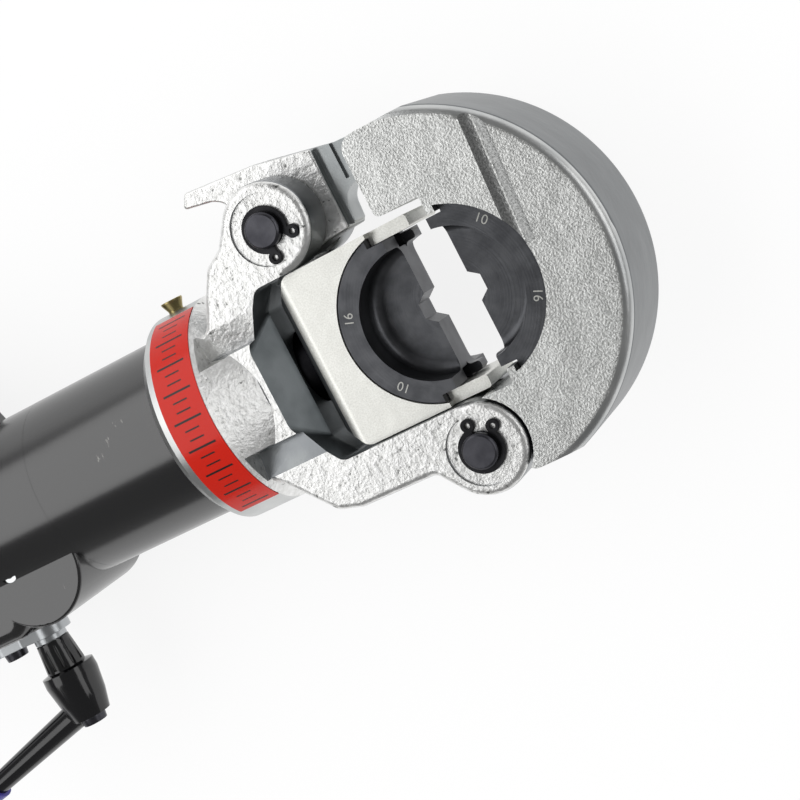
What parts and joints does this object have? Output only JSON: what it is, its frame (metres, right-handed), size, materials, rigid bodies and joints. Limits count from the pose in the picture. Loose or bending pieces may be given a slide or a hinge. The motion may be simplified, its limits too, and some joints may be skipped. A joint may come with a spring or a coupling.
{
  "type": "hydraulic cable crimping tool",
  "caption": "Manual hydraulic crimping tool: a pump handle drives a ram that closes two die halves in a latched flip-open head.",
  "frame": {"origin": "crimp centre: on the tool's axis, half way between the two dies at rest, middle of the dies' thickness", "axes": "+X along the tool's axis from the pump to the head, +Z out of the head's front face, +Y towards the latch"},
  "size_m": [0.5474, 0.3495, 0.0703],
  "materials": {
    "blasted_steel": "forged steel, blasted and plated",
    "die_steel": "black oxide",
    "pin_steel": "black oxide, turned",
    "bright_steel": "ground and polished",
    "zinc_steel": "zinc plated",
    "spring_steel": "drawn wire",
    "black_paint": "gloss black paint",
    "red_band": "glossy film",
    "brass": "turned",
    "rubber": "moulded",
    "grip_plastic": "moulded grip",
    "cap_plastic": "moulded"
  },
  "bodies": {
    "pump_body": {"cylinder_tube": "black_paint", "rod_gland": "bright_steel", "rod_seal": "rubber", "pump_block": "black_paint", "plunger_gland": "bright_steel", "plunger_seal": "rubber", "outlet_ball": "bright_steel", "outlet_spring": "spring_steel", "inlet_ball": "bright_steel", "relief_ball": "bright_steel", "relief_spring": "spring_steel", "relief_screw": "pin_steel", "handle_pin": "pin_steel", "handle_clip_front": "pin_steel", "handle_clip_back": "pin_steel", "keeper_plate": "zinc_steel", "keeper_screw": "pin_steel", "valve_gland": "zinc_steel", "reservoir_tube": "black_paint", "oil_bladder": "rubber", "reservoir_cap": "cap_plastic", "filler_plug": "zinc_steel", "fixed_grip": "grip_plastic"},
    "head": {"head_casting": "blasted_steel", "label_band": "red_band", "collar_screw": "brass", "latch_pin": "pin_steel", "latch_clip_front": "pin_steel", "latch_clip_back": "pin_steel", "hinge_pin": "pin_steel", "hinge_clip_front": "pin_steel", "hinge_clip_back": "pin_steel"},
    "ram": {"ram_block": "blasted_steel", "piston": "bright_steel", "piston_seal": "rubber", "lower_die": "die_steel", "ram_ball": "bright_steel", "return_spring": "spring_steel"},
    "ram_button": {"ram_button": "pin_steel", "ram_button_spring": "spring_steel"},
    "yoke": {"yoke": "blasted_steel", "upper_die": "die_steel", "yoke_ball": "bright_steel"},
    "yoke_button": {"yoke_button": "pin_steel", "yoke_button_spring": "spring_steel"},
    "latch": {"latch_lever": "blasted_steel", "latch_spring": "spring_steel"},
    "release_lever": {"release_stem": "bright_steel", "release_hub": "pin_steel", "release_screw": "pin_steel", "lever_sleeve": "grip_plastic"},
    "handle": {"handle_root": "black_paint", "handle_tube": "black_paint", "handle_grip": "grip_plastic", "handle_cap": "cap_plastic"},
    "plunger": {"plunger": "bright_steel", "plunger_pin": "bright_steel"}
  },
  "joints": [
    {"name": "head_swivel", "type": "hinge", "parent": "pump_body", "child": "head", "pos_m": [-0.0866, 0, 0], "axis": [1, 0, 0], "continuous": true},
    {"name": "ram_slide", "type": "slide", "parent": "head", "child": "ram", "axis": [1, 0, 0], "range_m": [-0.0045, 0.01342], "deforming": ["return_spring"]},
    {"name": "ram_button_press", "type": "slide", "parent": "ram", "child": "ram_button", "axis": [0, 0, 1], "range_m": [0, 0.0042], "stiffness_N_per_m": 600, "springref_m": -0.002, "deforming": ["ram_button_spring"]},
    {"name": "yoke_hinge", "type": "hinge", "parent": "head", "child": "yoke", "pos_m": [-0.0078, -0.0434, 0], "axis": [0, 0, -1], "range_deg": [0, 107]},
    {"name": "yoke_button_press", "type": "slide", "parent": "yoke", "child": "yoke_button", "axis": [0, 0, 1], "range_m": [0, 0.0042], "stiffness_N_per_m": 600, "springref_m": -0.002, "deforming": ["yoke_button_spring"]},
    {"name": "latch_hinge", "type": "hinge", "parent": "head", "child": "latch", "pos_m": [-0.037, 0.0434, 0], "axis": [0, 0, 1], "range_deg": [-4.5, 38], "stiffness_Nm_per_rad": 0.4, "deforming": ["latch_spring"]},
    {"name": "handle_pivot", "type": "hinge", "parent": "pump_body", "child": "handle", "pos_m": [-0.192, 0.052, 0], "axis": [0, 0, 1], "range_deg": [0, 34]},
    {"name": "plunger_stroke", "type": "slide", "parent": "pump_body", "child": "plunger", "axis": [0, -1, 0], "range_m": [0, 0.0111]},
    {"name": "release_turn", "type": "hinge", "parent": "pump_body", "child": "release_lever", "pos_m": [-0.1866, 0, 0], "axis": [0, 1, 0], "range_deg": [0, 90]}
  ],
  "couplings": [
    {"joint": "plunger_stroke", "follows": "handle_pivot", "m_per_rad": 0.01855}
  ]
}
